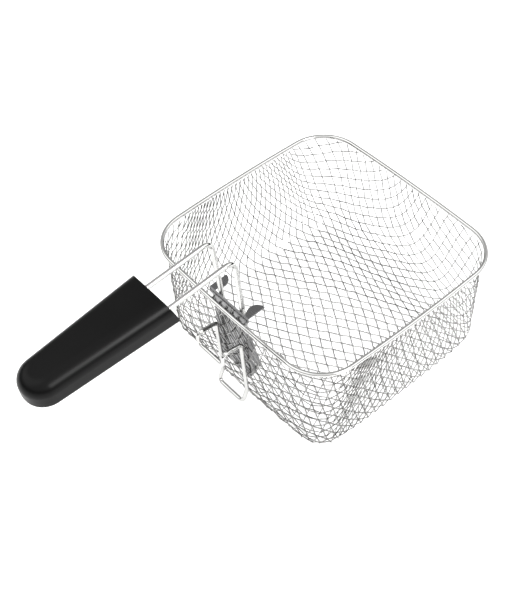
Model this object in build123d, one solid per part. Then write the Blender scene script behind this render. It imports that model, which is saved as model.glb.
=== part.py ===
from build123d import *
import os
from math import acos, atan2, cos, degrees, hypot, pi, radians, sin, sqrt, tan

# Square basket of woven stainless wire for a deep fryer, with a raised handle that folds in.
# Millimetres. Origin at the centre of the base's underside, +Z up, handle towards -X.
# Each sub-part is its own solid in its own node.

# Basket
rim_length = 200.0  # rim wire centreline, handle side to far side
rim_width = 207.6  # rim wire centreline, across the handle
rim_height = 103.0  # base underside to rim wire centre
rim_wire = 3.5
rim_corner = 35.0
side_bow = 3.0  # how far the middle of each side stands out from a straight one
mesh_wire = 1.0
wall_taper = 4.0  # how far each wall comes in, from rim to base
base_corner = 23.0
base_edge = 12.0  # outer rounding between walls and base
weld_sink = 0.15  # how deep welded wires sink into each other

# Handle bracket, stamped from sheet. Heights are measured from the rim wire's centre.
sheet = 1.2
plate_width = 38.0
plate_above_rim = 7.5
plate_below_rim = 72.0
plate_corner = 5.0
shoulder_width = 44.8
shoulder_drop = 6.0
flange_top_below_rim = 7.0
flange_top_depth = 2.2
flange_foot_gap = 4.0  # flange's lower end above the plate's
lug_wall = 1.9  # metal around the pivot hole
ear_radius = 7.7
ear_neck_width = 5.5
ear_reach = 9.4  # ear centre from the mesh's inner face
bend_radius = 1.0

# Handle
handle_wire = 4.2
pivot_below_rim = 62.0
leg_plate_gap = 0.33  # between each leg and the plate's top edge
pin_clearance = 0.06
pin_stand_out = 1.6  # pin end beyond the flange
pin_bend = 3.5
leg_half_gap = 11.2  # leg centreline from the middle, at the pivot
rod_half_gap = 13.0  # rod centreline from the middle
rod_height = 65.3  # elbows above the rim wire's centre
rod_droop = 4.8  # degrees by which the rods and the grip slope down from the elbows
leg_lean = 4.7  # how far the legs lean outwards over their height, from the wall's own lean
elbow_bend = 8.0
loop_flat = 0.5  # half the straight part of the wire's closed end
rod_into_grip = 94.0

# Grip, two moulded shells
grip_front = 54.7  # basket side of the grip at its foot, outwards from the rim wire's centreline
grip_front_slant = 6.6  # how far the front leans outwards over the grip's height
grip_length = 117.7
grip_beside_rods_front = 10.4  # rod centreline to the grip's side at its front
grip_beside_rods_end = 4.6  # the same at its rounded end
grip_above_rods = 14.5
grip_height = 22.8
grip_lower_height = 5.0
grip_wall = 2.5
grip_top_round = 10.5
grip_bottom_round = 3.5
part_line_gap = 0.35
part_line_step = 0.45
rod_seat_clearance = 0.1
tongue_gap = 0.15  # each side of a tongue in its slot
tongue_root = 1.0  # how far a tongue or post reaches into the tray's own wall
rib_thickness = 2.4
rib_count = 3
rib_from_front = 10.0
rib_below_rods = 1.0
boss_radius = 4.2
post_radius = 5.0
screw_thread_radius = 1.5
thread_bite = 0.08
screw_head_radius = 2.8
screw_head_height = 1.8
screw_head_round = 0.8
screw_hole_clearance = 0.3
screw_recess = 1.0
screw_length = 11.0
pilot_beyond_screw = 1.0
screw_from_front = (26.0, 74.0)
recess_half_width = 1.1
recess_depth = 1.0
recess_reach = 1.7  # cross recess, from the screw's axis

# Drain hook, one closed wire form welded outside the handle wall
hook_wire = 3.5
hook_half_gap = 15.0
hook_arm_below_rim = 27.8
hook_arm_reach = 18.5
hook_arm_rise = 3.5
hook_drop = 13.0
hook_leg_end_below_rim = 87.0
hook_foot_drop = 12.3
hook_foot_reach = 5.5
hook_bend = 4.0  # corners of the hanging bar
hook_wall_bend = 2.5  # arms into legs
hook_foot_bend = 4.5

# Worked-out sizes
grip_front_width = 2 * (rod_half_gap + grip_beside_rods_front)
grip_end_radius = rod_half_gap + grip_beside_rods_end
mesh_thickness = 2 * mesh_wire
mesh_inset = rim_wire / 2 - weld_sink  # rim centreline to the mesh's outer face
wall_lean = degrees(atan2(wall_taper, rim_height))
mesh_outer_x = rim_length / 2 - mesh_inset
mesh_inner_x = mesh_outer_x - mesh_thickness
rim_z = rim_height

# The handle wall's own frame: x inwards from the mesh's inner face, y along the wall, z up the
# wall from the rim's height. It leans with the wall.
lean_in = Vector(cos(radians(wall_lean)), 0, sin(radians(wall_lean)))
lean_up = Vector(-sin(radians(wall_lean)), 0, cos(radians(wall_lean)))
wall_frame = Plane(origin=(-mesh_inner_x, 0, rim_z), x_dir=lean_in, z_dir=lean_up)


def on_wall(x, y, z):
    """A point of the handle wall's frame as a point of the part."""
    return wall_frame.origin + lean_in * x + Vector(0, y, 0) + lean_up * z


# The legs lean from the pins past the plate's top edge. The pin axis is measured from the mesh.
lean_below_edge = leg_lean * (plate_above_rim + pivot_below_rim) / (rod_height + pivot_below_rim)
pivot_from_plate = sheet + leg_plate_gap + handle_wire / 2 + lean_below_edge
pivot = on_wall(pivot_from_plate, 0, -pivot_below_rim)
rod_z = rim_z + rod_height
elbow_x = on_wall(pivot_from_plate - leg_lean, 0, rod_height).X

# The rods and the grip are drawn level, then turned down about the elbows.
drooped = Pos(elbow_x, 0, rod_z) * Rot(0, -rod_droop, 0) * Pos(-elbow_x, 0, -rod_z)


def bowed_outline(half_x, half_y, corner, inset, z):
    """Closed wire of a rectangle with bowed sides and rounded corners, moved inwards by inset."""
    side_x = (half_y**2 + side_bow**2) / (2 * side_bow)
    side_y = (half_x**2 + side_bow**2) / (2 * side_bow)
    centre_x = half_x - side_x
    centre_y = half_y - side_y
    reach_x = side_x - corner
    reach_y = side_y - corner
    span = hypot(centre_x, centre_y)
    along = (reach_x**2 - reach_y**2 + span**2) / (2 * span)
    off = sqrt(reach_x**2 - along**2)
    to_y = (-centre_x / span, centre_y / span)
    corner_x = centre_x + to_y[0] * along - to_y[1] * off
    corner_y = to_y[1] * along + to_y[0] * off
    angle_x = atan2(corner_y, corner_x - centre_x)
    angle_y = atan2(corner_y - centre_y, corner_x)

    def spot(cx, cy, radius, angle):
        return (cx + (radius - inset) * cos(angle), cy + (radius - inset) * sin(angle))

    side_end = spot(centre_x, 0, side_x, angle_x)
    side_mid = (half_x - inset, 0)
    corner_mid = spot(corner_x, corner_y, corner, (angle_x + angle_y) / 2)
    top_end = spot(0, centre_y, side_y, angle_y)
    top_mid = (0, half_y - inset)
    edges = []
    for sx, sy in ((1, 1), (-1, 1), (-1, -1), (1, -1)):
        flip = [(sx * p[0], sy * p[1], z) for p in (side_end, corner_mid, top_end)]
        edges.append(ThreePointArc(*flip))
    for sx in (1, -1):
        ends = [(sx * side_end[0], s * side_end[1], z) for s in (1, -1)]
        edges.append(ThreePointArc(ends[0], (sx * side_mid[0], 0, z), ends[1]))
    for sy in (1, -1):
        ends = [(s * top_end[0], sy * top_end[1], z) for s in (1, -1)]
        edges.append(ThreePointArc(ends[0], (0, sy * top_mid[1], z), ends[1]))
    return Wire(edges)


def basket_form(inset, bottom):
    """The basket's filled form: its walls moved inwards by inset and its floor at bottom."""
    share = 1 - bottom / rim_height
    half_x = rim_length / 2 - mesh_inset
    half_y = rim_width / 2 - mesh_inset
    corner = rim_corner - mesh_inset
    low_corner = corner + (base_corner - corner) * share
    top = bowed_outline(half_x, half_y, corner, inset, rim_z)
    low = bowed_outline(half_x - wall_taper * share, half_y - wall_taper * share,
                        low_corner, inset, bottom)
    form = loft([Face(top), Face(low)], ruled=True)
    low_edges = form.edges().group_by(Axis.Z)[0]
    return fillet(low_edges, base_edge - inset)


def rod(path, diameter):
    """Round wire along a path."""
    start = Plane(path @ 0, z_dir=path % 0)
    return sweep(start * Circle(diameter / 2), path=path)


def both_sides(half):
    """A half made on the -Y side, joined to its mirror image."""
    return half + mirror(half, about=Plane.XZ)


def make_mesh_basket():
    return basket_form(0, 0) - basket_form(mesh_thickness, mesh_thickness)


def make_rim_wire():
    path = bowed_outline(rim_length / 2, rim_width / 2, rim_corner, 0, rim_z)
    start = Plane(path @ 0, z_dir=path % 0)
    return sweep(start * Circle(rim_wire / 2), path=path)


def local_box(x_range, y_range, z_range):
    """A box between three pairs of limits."""
    size = [b - a for a, b in (x_range, y_range, z_range)]
    middle = [(a + b) / 2 for a, b in (x_range, y_range, z_range)]
    return Pos(*middle) * Box(*size)


def make_bracket():
    """Back plate, two tapered side flanges that carry the pivot, and two half-moon ears on top."""
    half_plate = plate_width / 2
    half_shoulder = shoulder_width / 2
    plate = local_box((0, sheet), (-half_plate, half_plate), (-plate_below_rim, plate_above_rim))
    plate = fillet(plate.edges().filter_by(Axis.X).group_by(Axis.Z)[0], plate_corner)
    shoulder = local_box((0, sheet), (-half_shoulder, half_shoulder),
                         (plate_above_rim - shoulder_drop, plate_above_rim))
    shoulder = fillet(shoulder.edges().filter_by(Axis.X).group_by(Axis.Z)[0], shoulder_drop / 4)
    foot = Line((0, -plate_below_rim + flange_foot_gap), (0, -flange_top_below_rim))
    head = Line((0, -flange_top_below_rim), (flange_top_depth, -flange_top_below_rim))
    hole_radius = handle_wire / 2 + pin_clearance
    lug = CenterArc((pivot_from_plate, -pivot_below_rim), hole_radius + lug_wall, 0, 360)
    outline = make_hull([foot, head, lug])
    outline -= Pos(pivot_from_plate, -pivot_below_rim) * Circle(hole_radius)
    half = None
    for side in (1, -1):
        flange_mid = side * (half_plate - sheet / 2)
        standing = Plane(origin=(0, flange_mid, 0), x_dir=(1, 0, 0), z_dir=(0, -1, 0))
        flange = extrude(standing * outline, sheet / 2, both=True)
        disc = Pos(ear_reach, side * half_shoulder) * Circle(ear_radius)
        disc &= Pos(ear_reach, side * (half_shoulder - ear_radius)) * Rectangle(
            2 * ear_radius, 2 * ear_radius)
        neck_mid = side * (half_shoulder - ear_neck_width / 2)
        neck = Pos(ear_reach / 2, neck_mid) * Rectangle(ear_reach, ear_neck_width)
        ear = extrude(disc + neck, sheet)
        ear = Pos(0, 0, plate_above_rim - sheet) * ear
        half = flange + ear if half is None else half + flange + ear
    bracket = plate + shoulder + half
    top_back = bracket.edges().filter_by(Axis.Y).group_by(Axis.Z)[-1].group_by(Axis.X)[0]
    bracket = fillet(top_back, bend_radius)
    return wall_frame.location * bracket


def make_hook():
    """Closed wire form: two arms with a hanging bar, two legs down the wall, and a kicked-out bar."""
    on_mesh = -mesh_thickness - hook_wire / 2 + weld_sink
    arm_out = on_mesh - hook_arm_reach
    foot_out = on_mesh - hook_foot_reach
    arm_z = -hook_arm_below_rim
    shape = [
        (arm_out, 0, arm_z + hook_arm_rise - hook_drop),
        (arm_out, -hook_half_gap, arm_z + hook_arm_rise - hook_drop),
        (arm_out, -hook_half_gap, arm_z + hook_arm_rise),
        (on_mesh, -hook_half_gap, arm_z),
        (on_mesh, -hook_half_gap, -hook_leg_end_below_rim),
        (foot_out, -hook_half_gap, -hook_leg_end_below_rim - hook_foot_drop),
        (foot_out, 0, -hook_leg_end_below_rim - hook_foot_drop),
    ]
    radii = [hook_bend, hook_bend, hook_wall_bend, hook_foot_bend, hook_foot_bend]
    path = FilletPolyline(*[on_wall(*p) for p in shape], radius=radii)
    return both_sides(rod(path, hook_wire))


def handle_points():
    """Corners of half the handle wire, from the middle of its closed end to its pivot pin's end."""
    grip_x = -rim_length / 2 - grip_front
    closed_x = grip_x - rod_into_grip
    pin_end = -(plate_width / 2 + pin_stand_out)
    return [
        (drooped * Pos(closed_x, 0, rod_z)).position,
        (drooped * Pos(closed_x, -rod_half_gap, rod_z)).position,
        Vector(elbow_x, -rod_half_gap, rod_z),
        Vector(pivot.X, -leg_half_gap, pivot.Z),
        Vector(pivot.X, pin_end, pivot.Z),
    ]


def make_handle_wire():
    radii = [rod_half_gap - loop_flat, elbow_bend, pin_bend]
    path = FilletPolyline(*handle_points(), radius=radii)
    wire = rod(path, handle_wire)
    tip = wire.faces().sort_by(Axis.Y)[0].edges()
    return both_sides(chamfer(tip, handle_wire / 12))


def grip_plan(inset):
    """The grip's outline from above, moved inwards by inset."""
    front = -rim_length / 2 - grip_front - inset
    half_front = grip_front_width / 2
    centre = -rim_length / 2 - grip_front - grip_length + grip_end_radius
    reach = hypot(-rim_length / 2 - grip_front - centre, half_front)
    turn = atan2(half_front, -rim_length / 2 - grip_front - centre) + acos(grip_end_radius / reach)
    radius = grip_end_radius - inset
    touch = (centre + radius * cos(turn), radius * sin(turn))
    slope = tan(turn - pi / 2)
    side = touch[1] + (front - touch[0]) * slope
    edges = [
        Line((front, -side), (front, side)),
        Line((front, side), touch),
        ThreePointArc(touch, (centre - radius, 0), (touch[0], -touch[1])),
        Line((touch[0], -touch[1]), (front, -side)),
    ]
    return Face(Wire(edges))


def slab(inset, low, high):
    """The grip's outline filled between two heights, with its front cut to the slant."""
    block = Pos(0, 0, low) * extrude(grip_plan(inset), high - low)
    foot = (-rim_length / 2 - grip_front - inset, 0, grip_bottom)
    front = Plane(origin=foot, x_dir=(0, 1, 0), z_dir=(grip_height, 0, grip_front_slant))
    beyond = Box(2 * grip_front_width, 4 * grip_height, grip_length,
                 align=(Align.CENTER, Align.CENTER, Align.MIN))
    return block - front * beyond


def long_edges(face):
    """A grip face's edges along the sides and round the end, without its front edge."""
    return face.edges().filter_by(Axis.Y, reverse=True)


def screw_spots():
    return [-rim_length / 2 - grip_front - along for along in screw_from_front]


def rod_pair(radius, z):
    """Two level rods as wide as a seat, for cutting the grip."""
    grip_x = -rim_length / 2 - grip_front
    front = grip_x + grip_wall
    back = grip_x - rod_into_grip
    seats = None
    for side in (1, -1):
        run = local_box((back, front), (side * rod_half_gap - radius, side * rod_half_gap + radius),
                        (z - rod_height, z))
        top = Pos((front + back) / 2, side * rod_half_gap, z) * Rot(0, 90, 0)
        run += top * Cylinder(radius, front - back)
        seats = run if seats is None else seats + run
    return seats


grip_top = rim_z + rod_height + grip_above_rods
grip_bottom = grip_top - grip_height
part_line = grip_bottom + grip_lower_height
seat_radius = handle_wire / 2 + rod_seat_clearance


def make_grip_top():
    """Upper shell: rounded cover, cross ribs that seat the rods, and two screw bosses."""
    shell = slab(0, part_line + part_line_gap, grip_top)
    shell = fillet(long_edges(shell.faces().sort_by(Axis.Z)[-1]), grip_top_round)
    room = slab(grip_wall, part_line, grip_top - grip_wall)
    room = fillet(long_edges(room.faces().sort_by(Axis.Z)[-1]), grip_top_round - grip_wall)
    shell -= room
    inside = slab(grip_wall / 2, part_line + part_line_gap, grip_top - grip_wall / 2)
    inside = fillet(long_edges(inside.faces().sort_by(Axis.Z)[-1]), grip_top_round - grip_wall / 2)
    grip_x = -rim_length / 2 - grip_front
    spacing = (rod_into_grip - 2 * rod_half_gap) / (rib_count - 1)
    half_span = grip_front_width / 2
    for k in range(rib_count):
        x = grip_x - rib_from_front - k * spacing
        rib = local_box((x - rib_thickness / 2, x + rib_thickness / 2), (-half_span, half_span),
                        (rod_z - rib_below_rods, grip_top))
        shell += rib & inside
    for x in screw_spots():
        boss = Pos(x, 0, (part_line + part_line_gap + grip_top) / 2) * Cylinder(
            boss_radius, grip_top - part_line - part_line_gap)
        shell += boss & inside
    shell -= rod_pair(seat_radius, rod_z)
    end_x = grip_x - rod_into_grip
    loop = Pos(end_x + rod_half_gap, 0, rod_z) * Cylinder(rod_half_gap + seat_radius, 2 * seat_radius)
    loop -= Pos(end_x + rod_half_gap, 0, rod_z) * Cylinder(rod_half_gap - seat_radius,
                                                          2 * seat_radius)
    shell -= loop
    for x in screw_spots():
        pilot = Pos(x, 0, grip_bottom + screw_length / 2 + screw_recess)
        shell -= pilot * Cylinder(screw_thread_radius - thread_bite,
                                  screw_length + 2 * pilot_beyond_screw)
    return drooped * shell


def make_grip_bottom():
    """Lower shell: a shallow tray with tongues that close the rod slots, and two screw posts."""
    tray = slab(part_line_step, grip_bottom, part_line)
    tray = fillet(long_edges(tray.faces().sort_by(Axis.Z)[0]), grip_bottom_round)
    tray -= slab(grip_wall + part_line_step, grip_bottom + grip_wall, part_line)
    grip_x = -rim_length / 2 - grip_front
    for side in (1, -1):
        half = seat_radius - tongue_gap
        tongue = slab(part_line_step, part_line - tongue_root, rod_z) & local_box(
            (grip_x - grip_wall - grip_front_slant, grip_x),
            (side * rod_half_gap - half, side * rod_half_gap + half),
            (part_line - tongue_root, rod_z))
        under = Pos(grip_x, side * rod_half_gap, rod_z) * Rot(0, 90, 0)
        tray += tongue - under * Cylinder(seat_radius, 8 * grip_wall)
    for x in screw_spots():
        post = Pos(x, 0, (grip_bottom + part_line) / 2) * Cylinder(post_radius,
                                                                   part_line - grip_bottom)
        inside = slab(part_line_step + tongue_root, grip_bottom + tongue_root, part_line)
        tray += post & inside
    for x in screw_spots():
        through = Pos(x, 0, grip_bottom + grip_lower_height / 2)
        tray -= through * Cylinder(screw_thread_radius + screw_hole_clearance, grip_height)
        sink_depth = screw_recess + screw_head_height
        sink = Pos(x, 0, grip_bottom + sink_depth / 2)
        tray -= sink * Cylinder(screw_head_radius + screw_hole_clearance, sink_depth)
    return drooped * tray


def make_screws():
    """Two pan-head screws with cross recesses, heads down."""
    screws = []
    seat = grip_bottom + screw_recess + screw_head_height
    for x in screw_spots():
        head = Pos(x, 0, seat - screw_head_height / 2) * Cylinder(screw_head_radius,
                                                                 screw_head_height)
        head = fillet(head.edges().group_by(Axis.Z)[0], screw_head_round)
        cross = Box(2 * screw_head_radius, recess_half_width, 2 * recess_depth)
        cross += Box(recess_half_width, 2 * screw_head_radius, 2 * recess_depth)
        cross &= Cylinder(recess_reach, 2 * recess_depth)
        head -= Pos(x, 0, seat - screw_head_height) * cross
        shank = Pos(x, 0, seat + (screw_length - screw_head_height) / 2) * Cylinder(
            screw_thread_radius, screw_length - screw_head_height)
        shank = chamfer(shank.edges().group_by(Axis.Z)[-1], screw_thread_radius / 2)
        screws.append(head + shank)
    return drooped * Compound(children=screws)


parts = {
    "mesh_basket": make_mesh_basket(),
    "rim_wire": make_rim_wire(),
    "handle_bracket": make_bracket(),
    "drain_hook": make_hook(),
    "handle_wire": make_handle_wire(),
    "grip_top_shell": make_grip_top(),
    "grip_bottom_shell": make_grip_bottom(),
    "grip_screws": make_screws(),
}

os.makedirs("parts", exist_ok=True)
for name, shape in parts.items():
    export_step(shape, f"parts/{name}.step")
print("pivot", round(pivot.X, 3), round(pivot.Z, 3))
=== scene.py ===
"""Looks for a square woven-wire fryer basket with a folding wire handle.

The wire forms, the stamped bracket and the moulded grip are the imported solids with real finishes.
The plain basket shell is replaced by woven wire: a pin-jointed net is draped over the basket's
form, and every wire of it is drawn with its crimps.
"""

import logging
import math
from dataclasses import dataclass, field
from enum import Enum

import bpy
import numpy as np
from mathutils import Matrix, Vector

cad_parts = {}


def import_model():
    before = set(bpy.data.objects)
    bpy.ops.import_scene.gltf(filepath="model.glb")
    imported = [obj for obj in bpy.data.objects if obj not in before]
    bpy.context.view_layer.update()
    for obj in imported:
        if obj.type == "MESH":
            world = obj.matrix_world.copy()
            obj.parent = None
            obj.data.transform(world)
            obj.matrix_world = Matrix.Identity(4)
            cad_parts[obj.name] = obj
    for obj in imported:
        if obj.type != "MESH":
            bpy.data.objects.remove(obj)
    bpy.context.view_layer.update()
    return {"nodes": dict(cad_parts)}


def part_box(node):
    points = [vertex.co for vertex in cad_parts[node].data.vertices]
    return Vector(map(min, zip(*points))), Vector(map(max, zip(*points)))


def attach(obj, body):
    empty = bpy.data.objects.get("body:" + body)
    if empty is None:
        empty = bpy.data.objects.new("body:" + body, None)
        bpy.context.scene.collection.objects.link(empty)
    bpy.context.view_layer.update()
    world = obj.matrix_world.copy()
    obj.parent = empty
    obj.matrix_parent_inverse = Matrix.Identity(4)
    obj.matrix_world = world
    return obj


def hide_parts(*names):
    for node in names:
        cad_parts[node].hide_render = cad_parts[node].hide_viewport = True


MM = 0.001
LOG = logging.getLogger("fryer_basket")


# ---------------------------------------------------------------- finishes


def linear(hex_colour: str) -> tuple[float, float, float, float]:
    """Turns an sRGB hex colour to linear RGBA.

    Args:
        hex_colour: six hex digits, such as "1a1b1c".

    Returns:
        Red, green, blue and an alpha of 1.
    """
    channels = [int(hex_colour[k : k + 2], 16) / 255 for k in (0, 2, 4)]
    return (*[c / 12.92 if c <= 0.04045 else ((c + 0.055) / 1.055) ** 2.4 for c in channels], 1.0)


def add_node(
    tree: bpy.types.NodeTree,
    kind: str,
    settings: dict[str, object] | None = None,
    inputs: dict[str | int, object] | None = None,
) -> bpy.types.Node:
    """Adds one shader node.

    Args:
        tree: the node tree that gets it.
        kind: the node's type name.
        settings: attributes of the node.
        inputs: socket name or number to a value, or to an output socket to link from.

    Returns:
        The new node.
    """
    node = tree.nodes.new(kind)
    for name, value in (settings or {}).items():
        setattr(node, name, value)
    for name, value in (inputs or {}).items():
        if isinstance(value, bpy.types.NodeSocket):
            tree.links.new(value, node.inputs[name])
        else:
            node.inputs[name].default_value = value
    return node


class Coat(Enum):
    """How a metal's surface was left."""

    DRAWN = "drawn through a die and polished"
    ROLLED = "rolled sheet"
    PLATED = "zinc plated"


@dataclass(frozen=True)
class SteelFinish:
    """Bright stainless or plated steel.

    A low roughness gives the drawn wires their sharp bright and dark edges. The sheet and the
    screws are rougher, so they mirror the room softly.
    """

    name: str
    colour: str
    worn_colour: str
    roughness: float
    coat: Coat
    grain_mm: float
    cloud_mm: float = 22.0
    cloud_detail: float = 3.0
    grain_detail: float = 2.0
    rolled_stretch: float = 0.06
    smoothest: float = 0.75
    roughest: float = 1.3
    mark_strength: float = 0.12
    mark_depth_mm: float = 0.02

    def material(self) -> bpy.types.Material:
        """Builds the material, with soft cloudy staining and the marks of how it was made.

        Returns:
            The new material.
        """
        made = bpy.data.materials.new(self.name)
        made.use_nodes = True
        tree = made.node_tree
        tree.nodes.clear()
        place = add_node(tree, "ShaderNodeTexCoord")
        stretch = (1.0, 1.0, 1.0)
        if self.coat is Coat.ROLLED:
            # Rolling leaves fine lines one way along the sheet, which draw its shine out.
            stretch = (1.0, self.rolled_stretch, 1.0)
        lay = add_node(
            tree, "ShaderNodeMapping", inputs={"Vector": place.outputs["Object"], "Scale": stretch}
        )
        cloud = add_node(
            tree,
            "ShaderNodeTexNoise",
            inputs={
                "Vector": place.outputs["Object"],
                "Scale": 1 / (self.cloud_mm * MM),
                "Detail": self.cloud_detail,
            },
        )
        grain = add_node(
            tree,
            "ShaderNodeTexNoise",
            inputs={
                "Vector": lay.outputs["Vector"],
                "Scale": 1 / (self.grain_mm * MM),
                "Detail": self.grain_detail,
            },
        )
        tint = add_node(
            tree,
            "ShaderNodeMix",
            {"data_type": "RGBA"},
            {0: cloud.outputs["Fac"], 6: linear(self.colour), 7: linear(self.worn_colour)},
        )
        rough = add_node(
            tree,
            "ShaderNodeMapRange",
            inputs={
                "Value": grain.outputs["Fac"],
                "From Min": 0.3,
                "From Max": 0.7,
                "To Min": self.roughness * self.smoothest,
                "To Max": self.roughness * self.roughest,
            },
        )
        bump = add_node(
            tree,
            "ShaderNodeBump",
            inputs={
                "Height": grain.outputs["Fac"],
                "Strength": self.mark_strength,
                "Distance": self.mark_depth_mm * MM,
            },
        )
        shader = add_node(
            tree,
            "ShaderNodeBsdfPrincipled",
            inputs={
                "Base Color": tint.outputs[2],
                "Metallic": 1.0,
                "Roughness": rough.outputs["Result"],
                "Normal": bump.outputs["Normal"],
            },
        )
        add_node(tree, "ShaderNodeOutputMaterial", inputs={"Surface": shader.outputs["BSDF"]})
        return made


@dataclass(frozen=True)
class MouldedGripFinish:
    """Black glass-filled polyamide, moulded in a spark-eroded tool.

    The eroded grain makes the shine soft and broad, and the black base leaves little but shine.
    """

    name: str = "moulded_black_polyamide"
    colour: str = "060606"
    high_colour: str = "0b0b0b"
    roughness: float = 0.31
    gloss: float = 0.12
    grain_mm: float = 0.55
    grain_strength: float = 0.35
    grain_depth_mm: float = 0.05
    flow_mm: float = 35.0
    smoother: float = 0.05
    rougher: float = 0.06

    def material(self) -> bpy.types.Material:
        """Builds the material.

        Returns:
            The new material.
        """
        made = bpy.data.materials.new(self.name)
        made.use_nodes = True
        tree = made.node_tree
        tree.nodes.clear()
        place = add_node(tree, "ShaderNodeTexCoord")
        # The real grain is about 0.1 mm. It is drawn coarser, so that it shows.
        grain = add_node(
            tree,
            "ShaderNodeTexNoise",
            inputs={
                "Vector": place.outputs["Object"],
                "Scale": 1 / (self.grain_mm * MM),
                "Detail": 2.0,
                "Roughness": 0.6,
            },
        )
        flow = add_node(
            tree,
            "ShaderNodeTexNoise",
            inputs={
                "Vector": place.outputs["Object"],
                "Scale": 1 / (self.flow_mm * MM),
                "Detail": 1.0,
            },
        )
        tint = add_node(
            tree,
            "ShaderNodeMix",
            {"data_type": "RGBA"},
            {0: flow.outputs["Fac"], 6: linear(self.colour), 7: linear(self.high_colour)},
        )
        rough = add_node(
            tree,
            "ShaderNodeMapRange",
            inputs={
                "Value": flow.outputs["Fac"],
                "To Min": self.roughness - self.smoother,
                "To Max": self.roughness + self.rougher,
            },
        )
        bump = add_node(
            tree,
            "ShaderNodeBump",
            inputs={
                "Height": grain.outputs["Fac"],
                "Strength": self.grain_strength,
                "Distance": self.grain_depth_mm * MM,
            },
        )
        shader = add_node(
            tree,
            "ShaderNodeBsdfPrincipled",
            inputs={
                "Base Color": tint.outputs[2],
                "Roughness": rough.outputs["Result"],
                "Specular IOR Level": self.gloss,
                "Normal": bump.outputs["Normal"],
            },
        )
        add_node(tree, "ShaderNodeOutputMaterial", inputs={"Surface": shader.outputs["BSDF"]})
        return made


@dataclass(frozen=True)
class PaperFinish:
    """Plain white matt paper under the object."""

    name: str = "pale_paper"
    colour: str = "ffffff"
    glow: float = 0.25

    def material(self) -> bpy.types.Material:
        """Builds the material. It glows a little, so that the shadows on it stay faint.

        Returns:
            The new material.
        """
        made = bpy.data.materials.new(self.name)
        made.use_nodes = True
        tree = made.node_tree
        tree.nodes.clear()
        shader = add_node(
            tree,
            "ShaderNodeBsdfPrincipled",
            inputs={
                "Base Color": linear(self.colour),
                "Roughness": 0.9,
                "Specular IOR Level": 0.1,
                "Emission Color": linear(self.colour),
                "Emission Strength": self.glow,
            },
        )
        add_node(tree, "ShaderNodeOutputMaterial", inputs={"Surface": shader.outputs["BSDF"]})
        return made


WOVEN_WIRE = SteelFinish("woven_stainless_wire", "9e9e9d", "7f7e7c", 0.13, Coat.DRAWN, 1.4)
FRAME_WIRE = SteelFinish("polished_stainless_rod", "d2d2d1", "bebebc", 0.07, Coat.DRAWN, 2.2)
BRACKET_SHEET = SteelFinish("stamped_stainless_sheet", "8a8a8b", "747475", 0.22, Coat.ROLLED, 1.2)
SCREW_STEEL = SteelFinish("zinc_plated_screw", "b9bcc0", "9fa2a6", 0.28, Coat.PLATED, 0.8)


# ---------------------------------------------------------------- basket form


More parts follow.
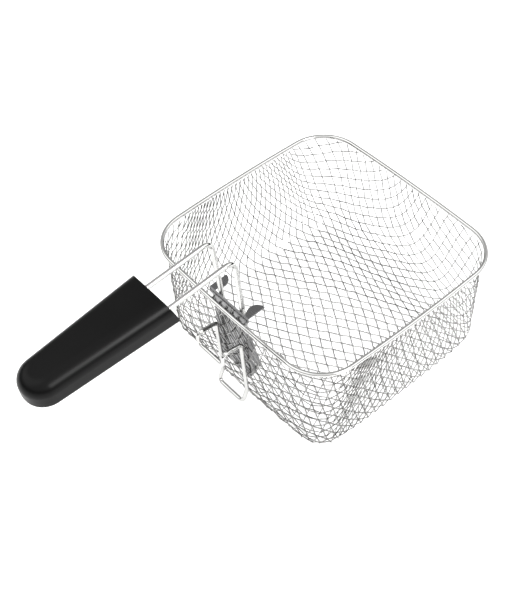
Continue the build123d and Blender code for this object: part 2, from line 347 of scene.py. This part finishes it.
@dataclass
class BasketForm:
    """The woven basket's middle surface: bowed sides, leaning walls and a rounded base edge.

    Everything here is in millimetres.
    """

    half_length: float
    half_width: float
    height: float
    corner: float = 33.4
    base_corner: float = 23.0
    side_bow: float = 3.0
    lean: float = 4.0
    base_edge: float = 12.0
    wire: float = 1.0
    past_rim: float = 0.6

    def wall(self, x: np.ndarray, y: np.ndarray, z: np.ndarray) -> tuple[np.ndarray, np.ndarray]:
        """Measures the distance inwards from the walls, and the direction in which it grows.

        Args:
            x: points' places along the handle.
            y: points' places across the handle.
            z: points' heights.

        Returns:
            The distances and the level unit vectors.
        """
        share = np.clip(1 - z / self.height, -self.past_rim, 1.0)
        a = self.half_length - self.lean * share
        b = self.half_width - self.lean * share
        corner = self.corner + (self.base_corner - self.corner) * np.clip(share, 0, 1)
        ax, ay = np.abs(x), np.abs(y)
        side_x = (b**2 + self.side_bow**2) / (2 * self.side_bow)
        side_y = (a**2 + self.side_bow**2) / (2 * self.side_bow)
        cx, cy = a - side_x, b - side_y
        span = np.hypot(cx, cy)
        along = ((side_x - corner) ** 2 - (side_y - corner) ** 2 + span**2) / (2 * span)
        off = np.sqrt((side_x - corner) ** 2 - along**2)
        kx = cx - cx / span * along - cy / span * off
        ky = cy / span * along - cx / span * off
        reach_x = np.hypot(ax - cx, ay)
        reach_y = np.hypot(ax, ay - cy)
        reach_k = np.hypot(ax - kx, ay - ky) + 1e-9
        in_x, in_y, in_k = side_x - reach_x, side_y - reach_y, corner - reach_k
        to_x = -np.stack([ax - cx, ay], -1) / reach_x[:, None]
        to_y = -np.stack([ax, ay - cy], -1) / reach_y[:, None]
        to_k = -np.stack([ax - kx, ay - ky], -1) / reach_k[:, None]
        turn = np.arctan2(ay - ky, ax - kx)
        in_corner = (turn >= np.arctan2(ky, kx - cx)) & (turn <= np.arctan2(ky - cy, kx))
        nearer_x = in_x < in_y
        inward = np.where(nearer_x, in_x, in_y)
        towards = np.where(nearer_x[:, None], to_x, to_y)
        inward = np.where(in_corner, in_k, inward)
        towards = np.where(in_corner[:, None], to_k, towards)
        flip = np.stack([np.where(x < 0, -1.0, 1.0), np.where(y < 0, -1.0, 1.0)], -1)
        return inward - self.wire, towards * flip

    def depth(self, points: np.ndarray) -> tuple[np.ndarray, np.ndarray]:
        """Measures how far points lie inside the middle surface, and its inward normal there.

        Args:
            points: an array of points, one a row.

        Returns:
            The depths and the unit normals.
        """
        inward, towards = self.wall(*points.T)
        edge = self.base_edge - self.wire
        from_wall = np.maximum(edge - inward, 0)
        from_floor = np.maximum(edge - points[:, 2] + self.wire, 0)
        reach = np.maximum(np.hypot(from_wall, from_floor), 1e-6)
        up = from_floor + from_wall * self.lean / self.height
        normal = np.stack([from_wall * towards[:, 0], from_wall * towards[:, 1], up], -1)
        normal /= np.linalg.norm(normal, axis=1)[:, None]
        return edge - reach, normal

    def settle(self, points: np.ndarray, rounds: int) -> np.ndarray:
        """Moves points onto the middle surface.

        Args:
            points: an array of points, one a row.
            rounds: how often to step.

        Returns:
            The moved points.
        """
        for _ in range(rounds):
            deep, normal = self.depth(points)
            points = points - deep[:, None] * normal
        return points


# ---------------------------------------------------------------- woven wire


@dataclass
class WovenNet:
    """Plain-woven wire cloth, draped over the basket's form.

    The cloth is a net of equal stretches between crossings. Pressing it into the basket shears its
    cells and bends its wires, but barely stretches them. Sizes are in millimetres.
    """

    form: BasketForm
    stretch: float = 9.4
    lay_deg: float = 30.5
    reach: int = 40
    spare: float = 22.0
    rounds: int = 1500
    bend: float = 0.12
    squeeze: float = 1.0
    cell_stiffness: float = 0.02
    least_cell_deg: float = 20.0
    pull: float = 1.2
    open_up: float = 0.25
    ease: float = 0.5
    halvings: int = 30
    first_settle: int = 20
    points: np.ndarray = field(default_factory=lambda: np.zeros((0, 3)))
    grid: np.ndarray = field(default_factory=lambda: np.zeros((0, 0), int))

    def lay_flat(self) -> None:
        """Lays the cloth on the floor and folds what is beyond it straight up the walls."""
        lay = math.radians(self.lay_deg)
        warp = np.array([math.sin(lay), math.cos(lay)])
        weft = np.array([-math.sin(lay), math.cos(lay)])
        rank = np.arange(-self.reach, self.reach + 1) + 0.5
        i, j = np.meshgrid(rank, rank, indexing="ij")
        flat = (i[..., None] * warp + j[..., None] * weft).reshape(-1, 2) * self.stretch
        away = np.hypot(*flat.T)
        ray = flat / away[:, None]
        low, high = np.zeros_like(away), np.full_like(away, 2 * self.form.half_width)
        for _ in range(self.halvings):
            middle = (low + high) / 2
            inside = self.form.wall(middle * ray[:, 0], middle * ray[:, 1], 0 * middle)[0] > 0
            low, high = np.where(inside, middle, low), np.where(inside, high, middle)
        height = np.maximum(away - low, 0) + self.form.wire
        keep = height < self.form.height + self.spare
        laid = np.stack([*(ray * np.minimum(away, low)[:, None]).T, height], -1)
        self.points = self.form.settle(laid[keep], self.first_settle)
        self.grid = np.full(len(away), -1)
        self.grid[keep] = np.arange(keep.sum())
        self.grid = self.grid.reshape(i.shape)

    def pairs(self, step: tuple[int, int], other: tuple[int, int] = (0, 0)) -> np.ndarray:
        """Lists crossings that lie one grid step apart.

        Args:
            step: the second crossing's place in the grid, from the first.
            other: the first crossing's own shift in the grid.

        Returns:
            Rows of two crossing numbers.
        """
        rows, columns = (n - 1 for n in self.grid.shape)
        first = self.grid[other[0] : other[0] + rows, other[1] : other[1] + columns]
        second = self.grid[step[0] : step[0] + rows, step[1] : step[1] + columns]
        both = (first >= 0) & (second >= 0)
        return np.stack([first[both], second[both]], 1)

    def runs_of_three(self) -> np.ndarray:
        """Lists each crossing with its neighbours on either side along one wire.

        Returns:
            Rows of three crossing numbers, the middle one second.
        """
        found = []
        for grid in (self.grid, self.grid.T):
            three = np.stack([grid[:-2], grid[1:-1], grid[2:]], -1).reshape(-1, 3)
            found.append(three[(three >= 0).all(1)])
        return np.concatenate(found)

    def press(self) -> None:
        """Relaxes the cloth on the form, so that its wires keep their length and bend smoothly."""
        lay = math.radians(self.lay_deg)
        wires = np.concatenate([self.pairs((1, 0)), self.pairs((0, 1))])
        long_way, short_way = self.pairs((1, 1)), self.pairs((0, 1), (1, 0))
        across = np.concatenate([long_way, short_way])
        natural = np.concatenate(
            [
                np.full(len(long_way), 2 * self.stretch * math.cos(lay)),
                np.full(len(short_way), 2 * self.stretch * math.sin(lay)),
            ]
        )
        least = 2 * self.stretch * math.sin(math.radians(self.least_cell_deg) / 2)
        threes = self.runs_of_three()
        count = len(self.points)
        shared = np.bincount(wires.ravel(), minlength=count)[:, None].astype(float)

        def gather(ends: list[tuple[np.ndarray, np.ndarray]]) -> np.ndarray:
            """Adds up the moves of each crossing.

            Args:
                ends: pairs of crossing numbers and their moves, one row a crossing.

            Returns:
                One summed move for every crossing of the net.
            """
            total = np.zeros((count, 3))
            for numbers, moves in ends:
                for k in range(3):
                    total[:, k] += np.bincount(numbers, moves[:, k], minlength=count)
            return total

        for _ in range(self.rounds):
            way = self.points[wires[:, 1]] - self.points[wires[:, 0]]
            length = np.linalg.norm(way, axis=1)
            give = np.where(length < self.stretch, self.squeeze, 1.0)
            move = (0.5 * give * (length - self.stretch) / length)[:, None] * way
            pulls = gather([(wires[:, 0], move), (wires[:, 1], -move)])
            self.points = self.points + self.pull * pulls / shared
            way = self.points[across[:, 1]] - self.points[across[:, 0]]
            length = np.linalg.norm(way, axis=1)
            push = np.where(length < least, self.open_up * (length - least), 0.0)
            push = push + 0.5 * self.cell_stiffness * (length - natural)
            move = (push / length)[:, None] * way
            moves = gather([(across[:, 0], move), (across[:, 1], -move)])
            self.points = self.points + self.ease * moves
            left, middle, right = (self.points[threes[:, k]] for k in range(3))
            move = ((left + right) / 2 - middle) * self.bend
            moves = gather(
                [(threes[:, 1], move), (threes[:, 0], -move / 2), (threes[:, 2], -move / 2)]
            )
            self.points = self.form.settle(self.points + self.ease * moves, 1)

    def wires(self, lengthwise: bool) -> list[list[int]]:
        """Lists the wires of one direction as runs of crossings.

        Args:
            lengthwise: True for the warp, False for the weft.

        Returns:
            One list of crossing numbers for each unbroken wire.
        """
        found = []
        for line in self.grid.T if lengthwise else self.grid:
            run: list[int] = []
            for number in [*line, -1]:
                if number >= 0:
                    run.append(int(number))
                elif run:
                    found.append(run)
                    run = []
        return [run for run in found if len(run) > 2]


@dataclass
class WovenBasket:
    """The basket of woven wire, one object for the warp and one for the weft."""

    net: WovenNet
    top: float
    jog: float = 0.45
    crimp: float = 0.45
    drawn: float = 0.84
    steps: int = 2
    roundness: int = 1
    crease_deg: float = 50.0

    def path(self, run: list[int], other: np.ndarray, lift: np.ndarray) -> np.ndarray:
        """Draws one wire's line, with a crimp over or under each crossing wire.

        Where two wires cross at a slant they lie side by side for a short way, so each crossing has
        two points, set apart along the line between the two wires' directions.

        Args:
            run: the wire's crossing numbers in order.
            other: each crossing's direction of the crossing wire.
            lift: each crossing's side, 1 or -1.

        Returns:
            The line's points.
        """
        at = self.net.points[run]
        along = np.gradient(at, axis=0)
        along /= np.linalg.norm(along, axis=1)[:, None]
        cross = other[run]
        cross = cross * np.where((cross * along).sum(1) < 0, -1.0, 1.0)[:, None]
        between = along + cross
        between /= np.linalg.norm(between, axis=1)[:, None]
        slant = np.clip((along * cross).sum(1), 0, 1)[:, None]
        normal = self.net.form.depth(at)[1]
        raised = at + normal * (lift[run] * self.crimp)[:, None]
        ends = [raised - between * self.jog * slant, raised + between * self.jog * slant]
        return np.stack(ends, 1).reshape(-1, 3)

    def smooth(self, line: np.ndarray) -> np.ndarray:
        """Rounds a line into a wire that springs from point to point.

        Args:
            line: the points to pass.

        Returns:
            Closer points.
        """
        padded = np.vstack([2 * line[0] - line[1], line, 2 * line[-1] - line[-2]])
        t = np.linspace(0, 1, self.steps, endpoint=False)[:, None, None]
        p0, p1, p2, p3 = padded[:-3], padded[1:-2], padded[2:-1], padded[3:]
        spans = 0.5 * (
            2 * p1
            + (p2 - p0) * t
            + (2 * p0 - 5 * p1 + 4 * p2 - p3) * t**2
            + (3 * p1 - p0 - 3 * p2 + p3) * t**3
        )
        return np.vstack([spans.transpose(1, 0, 2).reshape(-1, 3), line[-1:]])

    def below_rim(self, line: np.ndarray) -> list[np.ndarray]:
        """Cuts a wire where it passes the rim.

        Args:
            line: the wire's points.

        Returns:
            The stretches below the rim, each ending at its height.
        """
        low = line[:, 2] <= self.top
        kept = []
        start = None
        for k in range(len(line) + 1):
            inside = k < len(line) and low[k]
            if inside and start is None:
                start = k
            if not inside and start is not None:
                piece = [line[m] for m in range(start, k)]
                if start > 0:
                    piece.insert(0, self.at_top(line[start], line[start - 1]))
                if k < len(line):
                    piece.append(self.at_top(line[k - 1], line[k]))
                if len(piece) > 2:
                    kept.append(np.array(piece))
                start = None
        return kept

    def at_top(self, inner: np.ndarray, outer: np.ndarray) -> np.ndarray:
        """Finds the point between two others that lies at the rim's height.

        Args:
            inner: the point below the rim.
            outer: the point above it.

        Returns:
            The point between them.
        """
        share = (self.top - inner[2]) / (outer[2] - inner[2])
        return inner + (outer - inner) * share

    def directions(self, lengthwise: bool) -> np.ndarray:
        """Finds the direction of one set of wires at every crossing.

        Args:
            lengthwise: True for the warp, False for the weft.

        Returns:
            Unit vectors, one a crossing.
        """
        way = np.zeros_like(self.net.points)
        for run in self.net.wires(lengthwise):
            along = np.gradient(self.net.points[run], axis=0)
            way[run] = along / np.linalg.norm(along, axis=1)[:, None]
        return way

    def build(self, name: str, lengthwise: bool) -> bpy.types.Object:
        """Draws one set of wires as round tubes.

        Args:
            name: the new object's name.
            lengthwise: True for the warp, False for the weft.

        Returns:
            The new mesh object.
        """
        side = np.zeros(len(self.net.points))
        for (i, j), number in np.ndenumerate(self.net.grid):
            if number >= 0:
                side[number] = (1 if (i + j) % 2 else -1) * (1 if lengthwise else -1)
        other = self.directions(not lengthwise)
        curve = bpy.data.curves.new(name, "CURVE")
        curve.dimensions = "3D"
        curve.bevel_depth = self.drawn / 2 * MM
        curve.bevel_resolution = self.roundness
        curve.use_fill_caps = True
        for run in self.net.wires(lengthwise):
            for piece in self.below_rim(self.smooth(self.path(run, other, side))):
                spline = curve.splines.new("POLY")
                spline.points.add(len(piece) - 1)
                piece[:, 2] = np.maximum(piece[:, 2], self.drawn / 2)
                flat = np.column_stack([piece * MM, np.ones(len(piece))])
                spline.points.foreach_set("co", flat.astype(np.float32).ravel())
        drawn = bpy.data.objects.new(name, curve)
        bpy.context.scene.collection.objects.link(drawn)
        bpy.ops.object.select_all(action="DESELECT")
        bpy.context.view_layer.objects.active = drawn
        drawn.select_set(True)
        bpy.ops.object.convert(target="MESH")
        made = bpy.context.view_layer.objects.active
        bpy.ops.object.shade_smooth_by_angle(angle=math.radians(self.crease_deg))
        made.select_set(False)
        return made


# ---------------------------------------------------------------- studio


@dataclass
class Studio:
    """White floor, soft lights, what the metal mirrors, and the camera."""

    eye: tuple[float, float, float] = (-0.4429, -0.4798, 0.8015)
    aim: tuple[float, float, float] = (-0.0702, -0.0122, 0.1030)
    roll_deg: float = -3.27
    lens: float = 81.93
    floor_size: float = 12.0
    lit_point: tuple[float, float, float] = (0.0, 0.0, 0.05)
    room_level: float = 1.25
    dark_below: float = 0.24
    white_above: float = 0.44
    screen_deg: float = 27.0
    screen_edge_deg: float = 9.0
    screen_level: float = 0.42

    def camera(self) -> None:
        """Places the camera."""
        made = bpy.data.objects.new("camera", bpy.data.cameras.new("camera"))
        bpy.context.scene.collection.objects.link(made)
        made.data.lens = self.lens
        made.data.sensor_fit = "HORIZONTAL"
        made.data.sensor_width = 36.0
        made.data.clip_start = 0.05
        look = Vector(self.aim) - Vector(self.eye)
        turn = look.to_track_quat("-Z", "Y").to_matrix().to_4x4()
        turn = turn @ Matrix.Rotation(math.radians(self.roll_deg), 4, "Z")
        made.matrix_world = Matrix.Translation(self.eye) @ turn
        bpy.context.scene.camera = made

    def floor(self) -> None:
        """Lays the white floor at the height of the base's underside."""
        bpy.ops.object.select_all(action="DESELECT")
        bpy.ops.mesh.primitive_plane_add(size=self.floor_size, location=(0, 0, 0))
        made = bpy.context.active_object
        made.name = "floor"
        made.data.materials.append(PaperFinish().material())
        made.select_set(False)

    def light(
        self, name: str, place: tuple[float, float, float], size: float, watts: float
    ) -> None:
        """Hangs one soft square light that faces the basket.

        Args:
            name: the light's name.
            place: where it hangs, in metres.
            size: the length of its side, in metres.
            watts: its power.
        """
        lamp = bpy.data.lights.new(name, "AREA")
        lamp.size = size
        lamp.energy = watts
        made = bpy.data.objects.new(name, lamp)
        bpy.context.scene.collection.objects.link(made)
        look = Vector(self.lit_point) - Vector(place)
        turn = look.to_track_quat("-Z", "Y").to_matrix().to_4x4()
        made.matrix_world = Matrix.Translation(place) @ turn

    def surroundings(self) -> None:
        """Builds a white room, dark at the horizon and with a dark screen across from the camera.

        Both are there for the bright metal to mirror, so that its edges and flats read grey.
        """
        world = bpy.data.worlds.new("studio")
        bpy.context.scene.world = world
        world.use_nodes = True
        tree = world.node_tree
        tree.nodes.clear()
        place = add_node(tree, "ShaderNodeTexCoord")
        split = add_node(tree, "ShaderNodeSeparateXYZ", inputs={0: place.outputs["Generated"]})
        band = add_node(tree, "ShaderNodeValToRGB", inputs={"Fac": split.outputs["Z"]})
        ramp = band.color_ramp
        ramp.elements[0].position = 0.0
        ramp.elements[0].color = (0.02, 0.02, 0.02, 1)
        ramp.elements[1].position = self.white_above
        ramp.elements[1].color = (1, 1, 1, 1)
        ramp.elements.new(self.dark_below).color = (0.03, 0.03, 0.03, 1)
        across = Vector(self.aim) - Vector(self.eye)
        across.z = -across.z
        facing = add_node(
            tree,
            "ShaderNodeVectorMath",
            {"operation": "DOT_PRODUCT"},
            {0: place.outputs["Generated"], 1: across.normalized()},
        )
        screen = add_node(
            tree,
            "ShaderNodeMapRange",
            {"interpolation_type": "SMOOTHSTEP"},
            {
                "Value": facing.outputs["Value"],
                "From Min": math.cos(math.radians(self.screen_deg + self.screen_edge_deg)),
                "From Max": math.cos(math.radians(self.screen_deg - self.screen_edge_deg)),
                "To Min": 1.0,
                "To Max": self.screen_level,
            },
        )
        level = add_node(
            tree,
            "ShaderNodeVectorMath",
            {"operation": "SCALE"},
            {0: band.outputs["Color"], "Scale": screen.outputs["Result"]},
        )
        shine = add_node(
            tree,
            "ShaderNodeBackground",
            inputs={"Color": level.outputs["Vector"], "Strength": self.room_level},
        )
        add_node(tree, "ShaderNodeOutputWorld", inputs={"Surface": shine.outputs["Background"]})

    def set_up(self) -> None:
        """Builds the whole studio."""
        self.camera()
        self.floor()
        self.surroundings()
        self.light("key", (-0.9, 0.9, 1.9), 2.2, 12.0)
        self.light("fill", (1.4, -1.2, 1.8), 2.2, 12.0)
        self.light("strip", (0.02, -1.12, 0.98), 0.6, 13.0)
        bpy.context.scene.view_settings.view_transform = "Standard"


# ---------------------------------------------------------------- whole object


def dress(frame: dict, node: str, finish: bpy.types.Material) -> None:
    """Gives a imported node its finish.

    Args:
        node: the node's name.
        finish: the material for every slot of it.
    """
    solid = frame["nodes"][node]
    for k in range(len(solid.data.materials)):
        solid.data.materials[k] = finish
    if not solid.data.materials:
        solid.data.materials.append(finish)
    LOG.info("dressed %s in %s", node, finish.name)


def main() -> None:
    """Builds the looks in order and reports each piece."""
    logging.basicConfig(level=logging.INFO, format="%(name)s: %(message)s")
    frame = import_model()

    frame_wire = FRAME_WIRE.material()
    for node in ("rim_wire", "handle_wire", "drain_hook"):
        dress(frame, node, frame_wire)
    dress(frame, "handle_bracket", BRACKET_SHEET.material())
    grip = MouldedGripFinish().material()
    for node in ("grip_top_shell", "grip_bottom_shell"):
        dress(frame, node, grip)
    dress(frame, "grip_screws", SCREW_STEEL.material())

    low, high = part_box("mesh_basket")
    form = BasketForm(
        half_length=(high.x - low.x) / 2 / MM,
        half_width=(high.y - low.y) / 2 / MM,
        height=high.z / MM,
    )
    net = WovenNet(form)
    net.lay_flat()
    net.press()
    basket = WovenBasket(net, top=form.height - form.wire / 2)
    woven = WOVEN_WIRE.material()
    for name, lengthwise in (("warp_wires", True), ("weft_wires", False)):
        wires = basket.build(name, lengthwise)
        wires.data.materials.append(woven)
        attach(wires, "basket")
        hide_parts("mesh_basket")
        LOG.info("wove %s with %d faces", name, len(wires.data.polygons))

    Studio().set_up()


if __name__ == "__main__":
    main()
